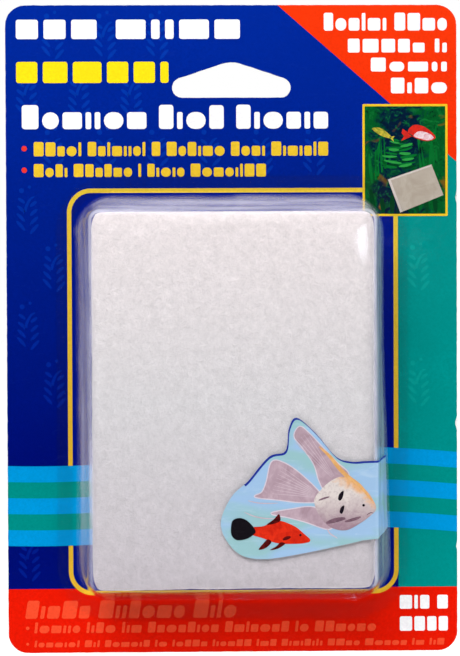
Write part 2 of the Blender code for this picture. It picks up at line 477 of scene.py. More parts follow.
def resampled(loop, spacing):
    """The same closed line with points this far apart, its own corners kept."""
    points = []
    for (x0, z0), (x1, z1) in zip(loop, loop[1:] + loop[:1]):
        parts = max(1, round(hypot(x1 - x0, z1 - z0) / spacing))
        for share in (part / parts for part in range(parts)):
            points.append((x0 + (x1 - x0) * share, z0 + (z1 - z0) * share))
    return points


# places on the right edge where the varnish has chipped: height, reach along the edge, depth
CHIPS = ((36, 1.2, 0.35), (-26, 1.6, 0.5), (-38.8, 2.4, 0.8), (-44.2, 1.6, 0.6), (-60, 1, 0.3))


def wear(x, z):
    """How far the ink's edge stands back from the board's edge at a point."""
    rough = noise.noise(Vector((x, 0, z)) / (2.3 * MM))
    fine = noise.noise(Vector((x, 7 * MM, z)) / (0.8 * MM))
    back = 0.09 + 0.07 * rough + 0.04 * fine
    for height, reach, depth in CHIPS:
        off = abs(z - CARD_CENTRE_Z - height * MM) / (reach * MM)
        if x > CARD_X * 0.98 and off < 1:
            back += depth * (1 - off * off)
    return max(back, 0.02) * MM


def card_print():
    """The card's flat areas, worn at their edges: blue, teal, and the red corner and foot."""
    loops = front_loops(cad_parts["backing_card"].data)
    worn = [pushed(resampled(loop, 0.8 * MM), wear) for loop in loops]
    outlines = [[(x / MM, (z - CARD_CENTRE_Z) / MM) for x, z in loop] for loop in worn]
    mesh = flat_mesh("card_print", outlines, INK_THICKNESS)
    across, down = CORNER_END[0] - CORNER_TOP[0], CORNER_TOP[1] - CORNER_END[1]
    corner, above = Vector((*CORNER_TOP, 0)) * MM, Vector((down, across, 0)).normalized()
    teal, foot = Vector((TEAL_LEFT, 0, 0)) * MM, Vector((0, FOOT_TOP, 0)) * MM
    sliced(mesh, ((corner, above), (teal, (1, 0, 0)), (foot, (0, 1, 0))))
    materials = (
        ink("blue", (1, 40, 152), (0, 12, 110)),
        ink("teal", (0, 142, 136), (0, 140, 135)),
        ink("red", (247, 56, 12), (228, 24, 4)),
    )
    piece("card_print", mesh, materials, "card")
    for face in mesh.polygons:
        if (face.center - corner).dot(above) > 0 or face.center.y < foot.y:
            face.material_index = 2
        elif face.center.x > teal.x:
            face.material_index = 1
    on_card(mesh, 1)


def border_and_panel():
    half = BORDER_WIDTH / 2
    outer = rounded_box(BORDER, BORDER_RADIUS + half, 14, half)
    inner = rounded_box(BORDER, BORDER_RADIUS - half, 14, -half)
    fill = rounded_box(BORDER, BORDER_RADIUS - half, 14, -half - 0.01)
    printed("border_line", [outer, inner], 2, ink("gold_line", (244, 214, 70), (240, 192, 50)))
    printed("border_panel", [fill], 2, ink("navy_panel", (2, 28, 132), (1, 16, 122)))


STRIPE_TOP, STRIPE_HEIGHT, STRIPE_PARTS = -34.93, 4.4, 60
STRIPE_SWELL, STRIPE_CREST, STRIPE_WAVE = 2.5, 30, 83


def stripe_edge(x, drop):
    """The height of a stripe's edge, this far below the top of the set."""
    return STRIPE_TOP + STRIPE_SWELL * cos(pi * (x - STRIPE_CREST) / STRIPE_WAVE) - drop


def stripes():
    """Five wavy bands across the whole card."""
    cyan = ink("cyan_stripe", (0, 146, 212), (0, 148, 214))
    green = ink("green_stripe", (0, 140, 126), (0, 138, 130))
    reach = CARD_X / MM - 0.12
    across = [-reach + 2 * reach * step / STRIPE_PARTS for step in range(STRIPE_PARTS + 1)]
    for number, material in enumerate((cyan, green, cyan, green, cyan)):
        drop = number * STRIPE_HEIGHT
        upper = [(x, stripe_edge(x, drop)) for x in across]
        lower = [(x, stripe_edge(x, drop + STRIPE_HEIGHT)) for x in across[::-1]]
        printed(f"wave_stripe_{number + 1}", [upper + lower], 3, material)


# the motifs' grid: the first one's place, and the steps to the right and down
SPRIG_LEFT, SPRIG_TOP = -56, 79.7
SPRIG_ACROSS, SPRIG_DOWN = 14.3, 15.9


def sprig(x, z):
    """A faint motif: water weed with paired leaves, curling at its tip under two bubbles."""
    stem = ((-0.6, -7.4), (0.7, -3.6), (-0.6, 0.4), (0.6, 3.6), (2, 4.6))
    shapes = [pen([(x + right, z + up) for right, up in stem], 0.8)]
    for number in range(4):
        foot_z = z - 5.6 + 2.5 * number
        length = 3.4 - 0.4 * number
        shapes.append(leaf(x + 0.75, foot_z, length, 0.95, 42 - 4 * number, 0.12))
        shapes.append(leaf(x - 0.75, foot_z + 0.9, length, 0.95, 138 + 4 * number, -0.12))
    return shapes + [dot(x - 1.6, z + 6.2, 0.7), dot(x + 0.6, z + 7.2, 0.45)]


def free_of_art(x, z):
    """Whether a sprig here is clear of the card's edge and of its other art."""
    if abs(x) > 57 or z < -64 or -62 < z < -28:  # the card's sides, its foot, the stripes
        return False
    slope = (CORNER_TOP[1] - CORNER_END[1]) / (CORNER_END[0] - CORNER_TOP[0])
    in_panel = z < BORDER[3] + 7 and -48.2 < x < 50.5
    in_corner = x > 32 and z > 25 or z + 12 > CORNER_TOP[1] - (x - CORNER_TOP[0]) * slope
    in_slot = dist((x, z), SLOT_MIDDLE) < 19 and abs(x) < 17 and z > 60
    return not (in_panel or in_corner or in_slot)


def motifs():
    """Rows of sprigs, every other row half a step along."""
    blue, teal = [], []
    for row in range(11):
        for column in range(9):
            x = SPRIG_LEFT + SPRIG_ACROSS * (column + (0 if row % 2 else 0.5))
            z = SPRIG_TOP - SPRIG_DOWN * row
            if free_of_art(x, z):
                (teal if x > TEAL_LEFT else blue).extend(sprig(x, z))
    printed("weed_motifs", blue, 2, ink("weed_blue", (4, 56, 168), (2, 26, 132)))
    printed("weed_motifs_right", teal, 2, ink("weed_teal", (8, 154, 146), (8, 150, 142)))


def bars(left, bottom, right, top, words, seed, slant=0, capitals=False):
    """A line of stand-in type, which says nothing: its words are runs of plain bars."""
    draw = random.Random(seed)
    height = top - bottom
    blocks, x = [], 0
    for word in words:
        for letter in range(word):
            wide = draw.choice((0.2, 0.52, 0.6, 0.7))
            tall = 1 if capitals or letter == 0 else draw.choice((0.7, 0.7, 0.7, 0.98))
            blocks.append((x, x + wide, tall))
            x += wide + 0.13
        x += 0.32
    scale = (right - left) / blocks[-1][1]
    shapes = []
    for number, (start, end, tall) in enumerate(blocks):
        width = (end - start) * scale
        oval = not capitals and tall < 0.9 and width > 0.35 * height and number % 2
        radius = 0.48 * min(width, tall * height) if oval else min(0.12 * height, 0.3 * width)
        bar = rounded_box((start * scale, 0, end * scale, tall * height), radius, 4)
        shapes.append([(left + px + slant * py, bottom + py) for px, py in bar])
    return shapes


def wording():
    """Bars where the pack has its wording."""
    white = ink("white", (252, 252, 252), (250, 248, 250))
    printed("heading_bars", bars(-58.9, 79.6, 2.4, 84.9, (3, 5), 3, capitals=True), 3, white)
    title = bars(-58.9, 67.6, -17.2, 73.4, (6,), 8, capitals=True)
    printed("title_bars", title, 3, ink("title_yellow", (255, 226, 24)))
    printed("headline_bars", bars(-57.4, 55, 26.5, 61.6, (7, 4, 6), 5), 3, white)
    lines = bars(-54.2, 47.6, 26.5, 51.5, (5, 8, 1, 6, 4, 7), 11)
    lines += bars(-54.2, 41.9, 9.4, 45.5, (4, 6, 1, 5, 8), 12)
    printed("list_bars", lines, 3, ink("list_gold", (236, 196, 50)))
    dots = [dot(-56.8, 49.7, 0.75), dot(-56.8, 43.8, 0.75)]
    printed("list_dots", dots, 3, ink("list_dot", (236, 56, 48)))
    corner = bars(25.4, 81.8, 59.2, 86.7, (6, 4), 20)
    corner += bars(32, 75.8, 59.2, 79.6, (5, 2), 21)
    corner += bars(38.3, 70.6, 59.2, 74.4, (5,), 22)
    corner += bars(43.8, 64.6, 59.2, 68.9, (4,), 23)
    printed("corner_bars", corner, 3, white)
    foot = bars(-57.3, -79.4, 0.5, -74.4, (5, 7, 4), 30, 0.16)
    foot += bars(-54.8, -83.4, 39.2, -80.4, (6, 4, 3, 8, 7, 2, 6), 31, 0.12)
    foot += bars(-54.8, -87.3, 58.1, -85.4, (7, 3, 6, 2, 5, 6, 3, 8, 4, 5, 2, 3), 32, 0.12)
    foot += [dot(-56.6, -82, 0.5), dot(-56.6, -86.4, 0.4)]
    printed("foot_bars", foot, 3, ink("salmon", (242, 76, 44)))
    code = bars(45.9, -77.3, 59.2, -73.5, (3, 1), 40, capitals=True)
    code += bars(45.9, -83.4, 59.2, -79.4, (4,), 41, capitals=True)
    printed("foot_corner_bars", code, 3, white)


# ---- the inset picture


def picture_ground():
    """Dark water and weed out of focus."""
    graph = Graph("picture_water")
    clouds = graph.noise(6, 3, 0.6, distortion=1.5)
    tufts = graph.noise(2.6, 4, 0.65, distortion=2)
    middle = (INSET[0] + INSET[2]) / 2 * MM
    off = graph.maths("ABSOLUTE", graph.maths("SUBTRACT", graph.axis("X"), middle - 1.5 * MM))
    greener = graph.plus(graph.ramp(off, 4 * MM, 9 * MM, -0.12, 0.14), clouds)
    deep = graph.fade(greener, 0.42, 0.58, (2, 26, 52), (2, 84, 34))
    lit = graph.fade(tufts, 0.54, 0.72, deep, (18, 118, 52))
    dark = graph.fade(tufts, 0.44, 0.3, lit, (3, 22, 26))
    warm = graph.fade(graph.noise(7, distortion=1), 0.62, 0.72, dark, (122, 86, 18), 0.8)
    return graph.opaque(warm, 0.3, 0.05)


# standing leaves in the inset, from its lower left corner: how many, the first one's place, the step to the
# next, the range of lengths, the width, the range of tilts, the bend
BED = (8, (3.4, 0.9), (2.4, 0), (3, 7), 1.3, (80, 104), 0.1)
TALL_RIGHT = (6, (16.5, 9), (1, 1.5), (8, 15), 0.9, (82, 98), 0.06)
TALL_LEFT = (5, (2.6, 9), (0.9, 1), (6, 12), 0.9, (80, 94), 0.04)


def inset_weed(left, bottom):
    """A drooping bush, a bed of broad leaves and tall weed, in three greens."""
    draw = random.Random(6)
    dark, mid, bright = [], [], []
    for number in range(26):
        height = number / 25
        foot_x = left + 10.2 + draw.uniform(-0.8, 0.8)
        tilt = draw.uniform(4, 26)
        length = draw.uniform(2.8, 5.2) * (1.05 - 0.25 * height)
        tilt, bend = (180 - tilt, 0.16) if number % 2 else (tilt, -0.16)
        drooping = leaf(foot_x, bottom + 13 + 7.6 * height, length, draw.uniform(0.5, 0.85), tilt, bend)
        (dark, mid, bright)[number % 3].append(drooping)
    for group, row in ((dark, BED), (mid, TALL_RIGHT), (mid, TALL_LEFT)):
        count, first, step, lengths, width, tilts, bend = row
        for number in range(count):
            x, z = (start + move * number for start, move in zip(first, step))
            length, tilt = draw.uniform(*lengths), draw.uniform(*tilts)
            group.append(leaf(left + x, bottom + z, length, width, tilt, bend))
    printed("inset_weed_dark", dark, 5, ink("weed_dark", (2, 62, 30)))
    printed("inset_weed_mid", mid, 6, ink("weed_mid", (8, 108, 44)))
    printed("inset_weed_bright", bright, 7, ink("weed_bright", (44, 152, 66)))


def inset_picture():
    """A small framed picture of a planted tank with two fish and a pad."""
    printed("inset_frame", [rounded_box(INSET, 0.3, 3)], 3, ink("inset_line", (238, 196, 40)))
    printed("inset_water", [rounded_box(INSET, 0.15, 2, -INSET_LINE)], 4, picture_ground())
    inset_weed(*INSET[:2])
    amber = [
        smooth([(38.6, 55), (40.6, 55.2), (42.6, 54), (43.9, 52.5), (42.4, 52.5), (40, 53.6)], 5),
        [(43.5, 52.7), (44.9, 52.9), (44.3, 52.2), (44.6, 51.3), (43.6, 52.3)],
    ]
    printed("inset_fish_amber", amber, 7, fin_ink("amber", (214, 190, 66), (120, 130, 40), 1.2))
    body = [
        smooth([(48.4, 54), (50, 55.9), (53, 55.4), (55.6, 53.3), (55.9, 52.2), (53.6, 51.5),
            (50.4, 52.4)], 5),
        [(49.2, 53.4), (47, 54.9), (46.7, 53.7), (47.4, 52.9), (46.6, 51.6), (48.8, 52.5), (49.9, 53)],
    ]
    printed("inset_fish_red", body, 7, fin_ink("koi_red", (226, 44, 30), (190, 40, 34), 1.5))
    belly = [smooth([(50, 53), (51.6, 54.2), (54.2, 53.6), (55.5, 52.4), (54, 51.7), (51.4, 52.3)], 5)]
    white = fin_ink("koi_white", (240, 226, 232), (214, 150, 160), 1.5)
    printed("inset_fish_white", belly, 8, white)
    pad = [[(42.9, 41), (54.9, 45.1), (58.2, 36.7), (46.3, 31.9)]]
    printed("inset_pad", pad, 7, fin_ink("picture_pad", (190, 180, 168), (168, 156, 142), 7))
    rim = [[(42.9, 41), (46.3, 31.9), (46.9, 32.15), (43.7, 40.75), (54.7, 44.5), (54.9, 45.1)]]
    printed("inset_pad_edge", rim, 8, ink("picture_pad_edge", (206, 196, 190), roughness=0.5))


# ---- the blister

CORNER_STEPS, ACROSS_STEPS, UP_STEPS = 14, 30, 40
WALL_TURN = pi / 2 - LEAN  # how far the face's edge turns before it meets the wall
WALL_TOP_X = FACE_X - FACE_EDGE * (1 - sin(WALL_TURN))
WALL_TOP_Y = FACE_Y + FACE_EDGE * (1 - cos(WALL_TURN))
WALL_FOOT_Y = FLANGE_Y - BASE_EDGE * (1 - cos(WALL_TURN))
WALL_FOOT_X = WALL_TOP_X + (WALL_FOOT_Y - WALL_TOP_Y) / cos(LEAN) * sin(LEAN)


def ring(half_width, half_height, radius):
    """A rounded rectangle, its sides divided too, with as many points whatever its size."""
    arcs = corner_arcs(-half_width, -half_height, half_width, half_height, radius, CORNER_STEPS)
    points = []
    for index, bend in enumerate(arcs):
        (x0, z0), (x1, z1) = bend[-1], arcs[(index + 1) % 4][0]
        steps = UP_STEPS if index % 2 else ACROSS_STEPS
        shares = [step / steps for step in range(1, steps)]
        points += bend + [(x0 + (x1 - x0) * share, z0 + (z1 - z0) * share) for share in shares]
    return points


# round the face's edge, from the wall to the flat, the film is hazy first and then clear
RIM_HAZE = (0.7, 0.8, 0.9, 1, 1, 0.9, 0.6, 0.2, 0)

# how hazy each side is: (its wall, the rim where it meets the face). Besides the forming, the amounts
# follow how the light falls: the foot has next to none, a painted shade, and the top and right rims are
# strong, a painted highlight along the face's edge
HAZE_TOP = (0.49, 0.56)
HAZE_LEFT = (0.3, 0.46)
HAZE_RIGHT = (0.43, 0.7)
HAZE_FOOT = (0.02, 0.03)


def haze(x, z, wall, rim):
    """The film's haze at a point: each side has its own, and the corners have less."""
    across, up = abs(x / FACE_X), abs(z / FACE_Z)
    flank = HAZE_RIGHT if x > 0 else HAZE_LEFT
    end = HAZE_TOP if z > 0 else HAZE_FOOT
    turn = min(max((up - across) / 0.1 + 0.5, 0), 1)
    wall = wall**0.5 if x > 0 else wall
    corner = min(up, across) / max(up, across)
    amounts = [side + (top - side) * turn for side, top in zip(flank, end)]
    fade = 1 - 0.4 * up**2 if x < 0 and z < 0 else 1
    return (amounts[0] * wall * (1 - 0.7 * corner**8) + amounts[1] * rim) * fade


def film_sections():
    """The blister's outer skin from the flange's rim to the middle of its face: half width, depth, corner
    radius, share of wall haze, share of rim haze."""
    foot = WALL_FOOT_X + BASE_EDGE * sin(WALL_TURN)
    rim = BASE_X + FLANGE_WIDTH
    outs = (rim, rim - 0.15 * MM, BASE_X + FLANGE_WIDTH * 0.6, foot + 0.8 * MM)
    sections = [(out, FLANGE_Y, BASE_CORNER + out - BASE_X, 0, 0) for out in outs]
    for step in range(6):
        turn = WALL_TURN * step / 5
        out = foot - BASE_EDGE * sin(turn)
        depth = FLANGE_Y - BASE_EDGE * (1 - cos(turn))
        sections += [(out, depth, BASE_CORNER + out - BASE_X, 0.03 * step, 0)]
    for step in range(1, 12):
        share = step / 12
        out = WALL_FOOT_X + (WALL_TOP_X - WALL_FOOT_X) * share
        corner = BASE_CORNER + (FACE_CORNER - BASE_CORNER) * share
        wall = min(0.15 + 1.6 * share, 0.8) - 0.25 * max(0, sin(2.6 * pi * (share - 0.5)))
        depth = WALL_FOOT_Y + (WALL_TOP_Y - WALL_FOOT_Y) * share
        sections += [(out, depth, corner, wall, 0.2 * max(0, share - 0.8))]
    for step, hazy in enumerate(RIM_HAZE):
        turn = WALL_TURN * (1 - step / 8)
        back, inward = bent(FACE_EDGE, turn)
        sections += [(FACE_X - inward, FACE_Y + back, FACE_CORNER - inward, 0, hazy)]
    flat = FACE_X - FACE_EDGE
    for step in range(1, 15):
        corner = max(FACE_CORNER - FACE_EDGE - step * 0.2 * MM, 0.4 * MM)
        sections += [(flat * (1 - step / 15), FACE_Y, corner, 0, 0)]
    return sections


# how far the pocket's foot, and the pad's, stand above their true places at the middle
FILM_LIFT = 0.48 * MM
PAD_LIFT = 0.28 * MM
LIFT_SLOPE = 0.2 * MM


def foot_lift(x, z, middle):
    """How far a point near the foot is raised: the more so to the right."""
    footward = min(max((-z / FACE_Z - 0.8) / 0.15, 0), 1)
    return footward * (middle + LIFT_SLOPE * x / FACE_X)


def film_shift(x, y, z):
    """How the formed film strays from its true shape: the walls ripple, the right one stands up straighter
    the higher it goes, and the face falls back towards its edges. z is from the pocket's centre."""
    from_face = min(max((y - FACE_Y) / (FLANGE_Y - FACE_Y), 0), 1)
    spot = Vector((x, y, z))
    rightward = min(max((x / FACE_X - 0.4) / 0.5, 0), 1)
    upright = min(max(z / (15 * MM), -2.5), 1)
    narrowed = rightward * (0.15 + (0.86 + 0.5 * upright) * from_face)
    lopsided = Vector((-narrowed * MM, 0, foot_lift(x, z, FILM_LIFT) * (1 - from_face)))
    if from_face < 0.03:
        side = min(abs(x) / (FACE_X - FACE_EDGE), 1)
        end = min(abs(z) / (FACE_Z - FACE_EDGE), 1)
        fall = 0.2 * max(side**7, end**9) + 0.05 * (noise.noise(spot / (21 * MM)) + 0.6)
        return lopsided + Vector((0, fall * MM * (1 - from_face / 0.03), 0))
    if y >= FLANGE_Y - 0.01 * MM:
        return lopsided if x < BASE_X + 2 * MM else Vector((0, 0, 0))
    strength = sin(pi * min(from_face * 1.15, 1)) ** 0.6 if from_face < 0.8 else 0.9
    streaks = noise.noise(Vector((x / (60 * MM), y / (3.2 * MM), z / (17 * MM))))
    dents = noise.noise(Vector((x / (8 * MM), y / (6 * MM), z / (6.5 * MM))) + Vector((3.1, 0, 0)))
    wobble = noise.noise(Vector((x / (7 * MM), 9, z / (7 * MM))))
    push = 0.16 * streaks + 0.2 * dents + 0.22 * wobble * from_face**2
    outward = Vector((x / FACE_X, 0, z / FACE_Z))
    across, up = abs(outward.x), abs(outward.z)
    direction = Vector((copysign(1, x), 0, 0)) if across > up else Vector((0, 0, copysign(1, z)))
    near_corner = min(across, up) / max(across, up)
    direction = direction.lerp(outward.normalized(), near_corner**6)
    crumple = 0.5 if z > 0 else 0.1
    push += crumple * near_corner**4 * abs(noise.noise(spot / (3.2 * MM)))
    return lopsided + direction * push * strength * MM


def blister():
    rings, hazes = [], []
    for out, depth, corner, wall, rim in film_sections():
        points = []
        for x, z in ring(out, out + FACE_Z - FACE_X, corner):
            shift = film_shift(x, depth, z)
            points.append((x + shift.x, depth + shift.y, POCKET_Z + z + shift.z))
            hazes.append(haze(x, z, wall, rim))
        rings.append(points)
    mesh = lofted("blister_film", rings, capped=False)
    mesh.attributes.new("haze", "FLOAT", "POINT").data.foreach_set("value", hazes)
    if mesh.polygons[-1].normal.y > 0:
        mesh.flip_normals()
    mesh.shade_smooth()
    film = piece("blister_film", mesh, [film_material()], "blister")
    given(film.modifiers.new("film", "SOLIDIFY"), thickness=FILM, offset=-1)
    film.visible_shadow = False  # clear film: what little it holds back is left out
    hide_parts("blister")


def heat_seal():
    """The lacquer that holds the flange down: almost clear, with a satin grain."""
    graph = Graph("seal_lacquer_look")
    grain = graph.noise(0.9, 3, 0.6)
    satin = {"Color": WHITE, "Roughness": 0.35, "Normal": graph.bump(grain, 0.5, 0.05)}
    gloss = graph.add("BsdfGlossy", satin)
    clear = graph.add("BsdfTransparent", {"Color": (0.998, 0.998, 1, 1)})
    amount = graph.ramp(grain, 0.3, 0.7, 0.001, 0.006)
    dress("heat_seal_band", graph.finish(graph.over(amount, clear, gloss)))


def dress(node, material):
    """Gives a CAD node its material."""
    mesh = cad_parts[node].data
    mesh.materials.clear()
    mesh.materials.append(material)


# ---- the pad

PAD_SLACK = 0.06 * MM  # the pad starts this much smaller, and swells
PAD_CORNER = 2 * MM
PAD_EDGE = 0.7 * MM
PAD_PAINTED_SHADE_TONES = ((250, 240, 240), (227, 224, 226), (206, 198, 204))  # painted shade at its top, middle and foot: lightest at the top, darkest at the foot, as if lit from above
VOXEL = 2 * MM
SWELL = 0.25 * MM
SWELL_FRAMES = 20


def pad_body():
    """The pad's block with rounded edges, from its back to its front."""
    half_width = (pad_high.x - pad_low.x) / 2 - PAD_SLACK
    half_height = (pad_high.z - pad_low.z) / 2 - PAD_SLACK
    back, front = pad_high.y - PAD_SLACK / 2, pad_low.y + PAD_SLACK / 2
    bends = [bent(PAD_EDGE, radians(15 * step)) for step in range(7)]
    sections = [(shrink, back, 0) for shrink in (0.9, 0.6, 0.3, 0)]
    sections += [(0, back - depth, inset) for depth, inset in bends]
    straight = front - back + 2 * PAD_EDGE
    sections += [(0, back - PAD_EDGE + straight * share, 0) for share in (0.25, 0.5, 0.75)]
    sections += [(0, front + depth, inset) for depth, inset in bends[::-1]]
    sections += [(shrink, front, 0) for shrink in (0.3, 0.6, 0.9)]
    rings = []
    for shrink, depth, inset in sections:
        inset += PAD_EDGE if shrink > 0 else 0
        width = (half_width - inset) * (1 - shrink)
        height = (half_height - inset) * (1 - shrink)
        corner = max(min(PAD_CORNER - inset, width * 0.9), 0.2 * MM)
        rings.append([(x, depth, POCKET_Z + z) for x, z in ring(width, height, corner)])
    return lofted("scrubber_pad_fibre", rings)


def swollen(thing):
    """A short cloth simulation fills the pad out, each point held near where it began."""
    start = [vertex.co.copy() for vertex in thing.data.vertices]
    cloth = thing.modifiers.new("swell", "CLOTH")
    given(cloth.settings, use_pressure=True, uniform_pressure_force=4)
    given(cloth.settings, tension_stiffness=40, compression_stiffness=40, bending_stiffness=10)
    cloth.settings.effector_weights.gravity = 0
    cloth.point_cache.frame_end = SWELL_FRAMES
    scene = bpy.context.scene
    for number in range(1, SWELL_FRAMES + 1):
        scene.frame_set(number)
    shaped = evaluated(thing)
    thing.modifiers.remove(cloth)
    scene.frame_set(1)
    for vertex, before, after in zip(thing.data.vertices, start, shaped.vertices):
        move = after.co - before
        if move.length > SWELL:
            move = move.normalized() * SWELL
        vertex.co = before + move
    bpy.data.meshes.remove(shaped)


def applied(thing):
    """Makes the modifiers part of the mesh."""
    mesh, old = evaluated(thing), thing.data
    thing.modifiers.clear()
    thing.data = mesh
    bpy.data.meshes.remove(old)


def clumped(mesh):
    """Uneven fibre raises and sinks the surface, never past the pad's own box."""
    room = 0.02 * MM
    starts = [(vertex.co.copy(), vertex.normal.copy()) for vertex in mesh.vertices]
    for vertex, (spot, normal) in zip(mesh.vertices, starts):
        clump = noise.noise(spot / (2.6 * MM)) * 0.06
        clump += noise.noise(spot / (1.2 * MM) + Vector((5, 0, 0))) * 0.08
        spot = spot + normal * (clump - 0.08) * MM
        spot.z += foot_lift(spot.x, spot.z - POCKET_Z, PAD_LIFT)
        for axis in range(3):
            spot[axis] = min(max(spot[axis], pad_low[axis] + room), pad_high[axis] - room)
        vertex.co = spot


def scrubber_pad():
    pad = piece("scrubber_pad_fibre", pad_body(), [], "pad")
    given(pad.modifiers.new("remesh", "REMESH"), mode="VOXEL", voxel_size=VOXEL)
    applied(pad)
    swollen(pad)
    given(pad.modifiers.new("finer", "SUBSURF"), levels=2, render_levels=2)
    applied(pad)
    clumped(pad.data)
    pad.data.shade_smooth()
    pad.data.materials.append(fibre_material())
    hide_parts("scrubber_pad")


# ---- the label

LABEL_GAP = 0.15 * MM
LABEL_THICKNESS = 0.05 * MM
LABEL_STEP = 0.012 * MM
LABEL_FIRST = 1 + LABEL_THICKNESS / LABEL_STEP / 2  # the level of the first art, just clear of the sheet
LABEL_END = WALL_TOP_X / MM + 15.4  # along the skin, millimetres from the pocket's centre

# where the label is divided, along its skin and upwards: finely at the bend
LABEL_COLUMNS = [*range(-4, 35), *(35 + part / 4 for part in range(28)), *range(42, 56)]
LABEL_ROWS = range(-42, -3, 3)

# from the lower right, round the label's left end, and up over its tall fin
LABEL_CURVE = (
    (34, -36.9), (31.7, -37.5), (18, -40.3), (7.1, -41.8), (0.4, -39.7), (-3.6, -32.8),
    (-0.9, -25.4), (3.8, -20.9), (9.2, -14.6), (13.6, -13.1), (14.5, -7.2), (16.6, -4.3),
    (21.6, -8.4), (27, -14.6), (31, -16), (34.5, -15.9),
)


def skin_point(along, height, out):
    """A place this far along the blister's skin to the right, at this height from the pocket's centre, and
    this far out from the skin."""
    flat = FACE_X - FACE_EDGE
    bend = FACE_EDGE * WALL_TURN
    if along <= flat:
        x, y, turn = along, FACE_Y, 0
    elif along <= flat + bend:
        turn = (along - flat) / FACE_EDGE
        x = flat + FACE_EDGE * sin(turn)
        y = FACE_Y + FACE_EDGE * (1 - cos(turn))
    else:
        rest = along - flat - bend
        turn = WALL_TURN
        x = WALL_TOP_X + rest * sin(LEAN)
        y = WALL_TOP_Y + rest * cos(LEAN)
    normal = Vector((sin(turn), -cos(turn), 0))
    return Vector((x, y, POCKET_Z + height)) + film_shift(x, y, height) + normal * out


def label_layer(name, outlines, level, material, thickness=INK_THICKNESS):
    """Art laid flat along the skin, divided finely, then wrapped round its edge."""
    mesh = flat_mesh(name, outlines, thickness)
    planes = [((x * MM, 0, 0), (1, 0, 0)) for x in LABEL_COLUMNS]
    planes += [((0, z * MM, 0), (0, 1, 0)) for z in LABEL_ROWS]
    sliced(mesh, planes)
    for vertex in mesh.vertices:
        along, height, out = vertex.co
        vertex.co = skin_point(along, height, LABEL_GAP + LABEL_THICKNESS / 2 + level * LABEL_STEP + out)
    return piece(name, mesh, [material], "blister")


def label_art(name, outlines, level, material):
    label_layer("label_" + name, outlines, LABEL_FIRST + level, material)


def label_ground():
    """Pale water in soft bands of blue and sea green."""
    graph = Graph("label_water_ink")
    bands = graph.noise(9, 2, 0.4, (0.35, 1, 1.3), 0.5)
    ripple = graph.noise(3, 3, 0.6, (0.4, 1, 1.6), 1)
    water = graph.fade(bands, 0.46, 0.6, (156, 190, 224), (150, 192, 198))
    lit = graph.fade(ripple, 0.55, 0.75, water, (188, 212, 232), 0.45)
    return graph.opaque(lit, 0.22, 0.4, graph.bump(graph.noise(1.2), 0.1, 0.02))


def fish_label():
    """A die-cut label: two fish over water, and a dark line on its upper edge."""
    outline = smooth(LABEL_CURVE, closed=False) + [(LABEL_END, -15.5), (LABEL_END, -35.2)]
    sheet = label_layer("fish_label_sheet", [outline], 0, label_ground(), LABEL_THICKNESS)
    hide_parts("fish_label")
    edge = smooth([(2.6, -21.9), *LABEL_CURVE[7:]], closed=False) + [(LABEL_END, -15.55)]
    line = edge + [(x + 0.3, z - 0.52) for x, z in reversed(edge)]
    label_art("edge_line", [line], 0, ink("label_line", (34, 52, 150), roughness=0.25))
    pale_fish()
    red_fish()


def fan(root, start, end, reach, count):
    """Fine strokes that spread from a root, angles in degrees."""
    rays = []
    for number in range(count):
        angle = radians(start + (end - start) * number / (count - 1))
        run = Vector((cos(angle), sin(angle)))
        path = [Vector(root) + run * (reach * (0.2 + 0.2 * step)) for step in range(5)]
        rays.append(stroke([tuple(point) for point in path], 0.16))
    return rays


def flank_material():
    """Cream at the shoulder, mauve towards the belly, orange along the brow."""
    graph = Graph("pale_flank_ink")
    cloud = graph.times(graph.noise(3.5, 4, 0.65, distortion=1.2), 8 * MM)
    height = graph.plus(graph.axis("Z"), cloud)
    belly, shoulder, brow_start = (POCKET_Z + level * MM for level in (-29, -21, 4.6))
    side = graph.fade(height, belly, shoulder, (156, 128, 142), (218, 208, 204))
    brow = graph.plus(graph.times(graph.axis("X"), 0.8), height)
    warm = graph.fade(brow, brow_start, brow_start + 2.6 * MM, side, (226, 164, 98), 0.85)
    scales = graph.noise(0.8, 3, 0.6, distortion=1)
    return graph.opaque(graph.fade(scales, 0.5, 0.7, warm, (150, 122, 130), 0.35), 0.25, 0.1)


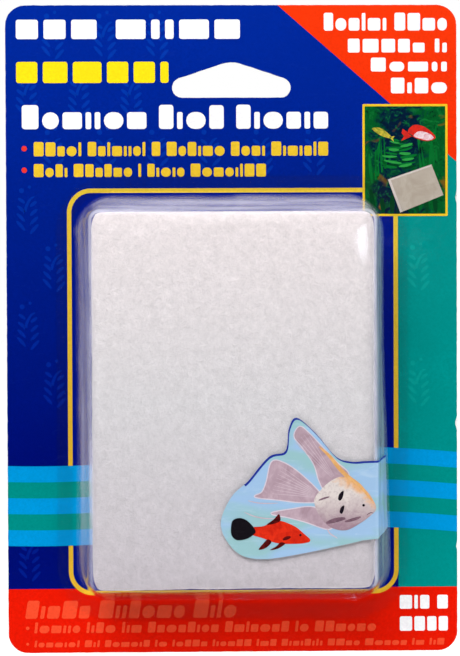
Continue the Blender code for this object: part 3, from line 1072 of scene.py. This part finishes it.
def pale_fish():
    """A pale fish that swims right, with a tall back fin and a fan tail."""
    fins = [
        smooth([(16, -9.2), (17.4, -6.7), (19.8, -8.4), (23.2, -12), (27, -16), (30.4, -19.4),
            (28.4, -22.6), (24.4, -23.6), (22.6, -21), (21.2, -16.6), (18.2, -12.2)]),
        smooth([(10, -16), (13.2, -16.3), (17.6, -19.3), (22.6, -24.2), (22.6, -26.4),
            (17, -26.6), (12, -26), (5.6, -25.2), (7.4, -24), (8.6, -21.2)]),
        smooth([(9.8, -29.6), (15, -28.6), (20.4, -28), (25, -29.6), (26.4, -32.2), (24.8, -33.8),
            (19, -31.9), (14.2, -30.6)]),
    ]
    pale = fin_ink("pale_ray", (216, 206, 216), (204, 192, 206))
    label_art("fin_edges", [pushed(fin, lambda x, z: 0.3) for fin in fins], 0, pale)
    label_art("fish_fins", fins, 1, fin_ink("mauve_fin", (192, 168, 180), (164, 138, 150)))
    rays = fan((24, -25.6), 144, 175, 14, 8) + fan((28.4, -22.6), 122, 136, 17, 5)
    rays += [
        pen([(2.6, -29.2), (5.4, -30.4), (9, -31), (13, -30.8)], 0.3),
        pen([(3.6, -26.2), (7, -26.9), (11.6, -26.9)], 0.26),
        pen([(24.6, -33.6), (25.4, -35), (27.4, -36.3)], 0.32),
    ]
    label_art("fin_rays", rays, 2, fin_ink("soft_ray", (208, 190, 200), (190, 168, 180)))
    flank = smooth([(21.2, -26.4), (23, -23.4), (25.8, -21), (28.8, -20), (32.4, -21.4), (35.4, -24),
            (37.2, -26.8), (37.6, -28.8), (36.2, -30.4), (33.4, -32.4), (29.6, -34.2), (25.6, -33.4),
            (22.8, -30.6)])
    label_art("fish_flank", [flank], 3, flank_material())
    orange = fin_ink("orange_back", (228, 176, 116), (214, 158, 96), 2)
    back = pen([(22.6, -12), (25.4, -14.6), (27.8, -17.6), (30.2, -20), (33.6, -22.6), (36.6, -26.4)], 1.1)
    label_art("fish_back", [back], 4, orange)
    folds = [
        pen([(35.2, -30.2), (36.2, -29.6), (37, -29.7)], 0.25, 5),
        leaf(22.4, -26.2, 3, 0.5, 12, 0.1),
        leaf(24.4, -32.2, 5.2, 1.2, 6, 0.12),
        leaf(29.4, -31.9, 4.4, 0.8, 22, -0.1),
    ]
    shadow = fin_ink("gill_shadow", (128, 98, 112), (104, 78, 92), 1.5)
    label_art("fish_folds", folds, 4, shadow)
    spots = [
        smooth([(27.6, -25.9), (27.9, -24.6), (29, -23.7), (28.9, -25.2), (28.2, -26.3)], 5),
        smooth([(28, -29.4), (28.3, -28.2), (29.2, -27.6), (29.1, -28.8), (28.6, -29.8)], 5),
        dot(34.4, -27.6, 0.36),
    ]
    label_art("fish_marks", spots, 5, ink("fish_black", (30, 24, 32), roughness=0.2))


def red_fish():
    """A small red fish with a black tail."""
    body = smooth([(4.2, -33.4), (7.6, -33), (9.4, -32.2), (10.8, -31.6), (13, -31.8), (16.2, -33.2),
            (18.4, -35), (20, -36.5), (19.6, -37.3), (16.6, -37.7), (11.4, -37.5), (7.6, -36.2),
            (4.2, -35)])
    label_art("small_fish", [body], 4, fin_ink("red_fish", (226, 50, 24), (196, 34, 18), 2.4))
    fins = [
        smooth([(8.6, -32.6), (10.4, -31.2), (11.8, -29.8), (12.2, -31.4), (11, -32.2)]),
        smooth([(8.8, -36.5), (7.6, -37.6), (6.4, -39.2), (8.4, -38.7), (9.8, -37.2)]),
        smooth([(12.2, -37.3), (11, -38.4), (9.4, -39.3), (11.4, -39), (13.4, -37.7)]),
        leaf(12.8, -36.6, 2.2, 0.9, 14, 0.1),
    ]
    label_art("small_fins", fins, 5, fin_ink("dark_red", (104, 20, 18), (54, 12, 14), 1.5))
    tail = smooth([(5.6, -34.2), (3.8, -31.8), (1.6, -30.8), (-0.4, -31.4), (-0.9, -33.4), (-0.7, -35.4),
            (0.6, -36.6), (3, -36.4), (4.8, -35.4)])
    eye = dot(17.5, -35.4, 0.32)
    label_art("small_tail", [tail, eye], 6, ink("tail_black", (22, 18, 24), roughness=0.2))


# ---- camera, light and floor

CAMERA_DISTANCE = 0.5
CAMERA_TURN, CAMERA_RISE, CAMERA_ROLL = -0.95, 1, -0.224  # degrees
FOCAL_LENGTH = 99.77
FLOOR_REACH, FLOOR_FRONT, FLOOR_DROP = 3, 0.24, 0.06
SIDE_LIGHT, OVERHEAD = 0.38, 2.4
KEY_POWER, FILL_POWER, GLINT_POWER = 4.1, 0.5, 0.024


def camera():
    data = bpy.data.cameras.new("camera")
    eye = placed("camera", given(data, lens=FOCAL_LENGTH, sensor_width=36, clip_start=0.01, clip_end=20))
    turn, rise = radians(CAMERA_TURN), radians(CAMERA_RISE)
    back = Vector((sin(turn) * cos(rise), -cos(turn) * cos(rise), sin(rise)))
    target = Vector((-0.62 * MM, 0, CARD_CENTRE_Z + 0.36 * MM))
    eye.location = target + back * CAMERA_DISTANCE
    aim = (-back).to_track_quat("-Z", "Y").to_matrix().to_4x4()
    roll = Matrix.Rotation(radians(CAMERA_ROLL), 4, "Z")
    eye.rotation_euler = (aim @ roll).to_euler()
    bpy.context.scene.camera = eye


def area_light(name, place, aim, width, height, power, shape="RECTANGLE"):
    """A lamp that looks from a place to an aim, both from the card's centre."""
    data = bpy.data.lights.new(name, "AREA")
    lamp = placed(name, given(data, shape=shape, size=width, size_y=height, energy=power))
    centre = Vector((0, 0, CARD_CENTRE_Z))
    lamp.location = centre + Vector(place)
    lamp.rotation_euler = (Vector(aim) - Vector(place)).to_track_quat("-Z", "Y").to_euler()


def studio():
    """A white tent, bright overhead and dark in front, so that the print's gloss stays clear. The camera
    itself sees plain white paper."""
    world = bpy.data.worlds.new("studio")
    bpy.context.scene.world = world
    graph = Graph(world, "Generated")
    sides = graph.ramp(graph.axis("Y"), -0.96, -0.6, 0.02, SIDE_LIGHT)
    above = graph.ramp(graph.axis("Z"), 0.2, 0.9, 1, OVERHEAD)
    tent = graph.add("Background", {"Color": WHITE, "Strength": graph.times(sides, above)})
    paper = graph.add("Background", {"Color": WHITE, "Strength": 1})
    seen = graph.add("LightPath").outputs["Is Camera Ray"]
    graph.finish(graph.over(seen, tent, paper), "OutputWorld")
    area_light("key", (-0.16, -0.42, 0.5), (0, 0, 0.02), 0.5, 0.35, KEY_POWER)
    area_light("fill", (0.5, -0.1, 0.05), (0.03, 0, 0), 0.2, 0.35, FILL_POWER)
    glint = Vector((118, -614, 43)) * MM
    area_light("glint", glint, (0.034, 0, 0.023), 0.024, 0.025, GLINT_POWER, "ELLIPSE")
    bpy.context.scene.view_settings.view_transform = "Standard"


def floor():
    """White paper below the pack, from a little in front of it to far behind."""
    mesh = bpy.data.meshes.new("floor")
    edit(mesh, lambda build: bmesh.ops.create_grid(build, x_segments=8, y_segments=8, size=FLOOR_REACH))
    ground = placed("floor", mesh)
    ground.location = (0, FLOOR_REACH - FLOOR_FRONT, card_low.z - FLOOR_DROP)
    graph = Graph("pale_floor")
    grey = graph.blend(graph.noise(4, 3), (0.6, 0.6, 0.6, 1), (0.64, 0.64, 0.64, 1))
    glow = {"Emission Color": WHITE, "Emission Strength": 0.6}
    mesh.materials.append(graph.opaque(grey, 0.85, extra=glow))


card_print()
border_and_panel()
stripes()
motifs()
wording()
inset_picture()
heat_seal()
blister()
scrubber_pad()
fish_label()
dress("backing_card", board_material())
camera()
studio()
floor()
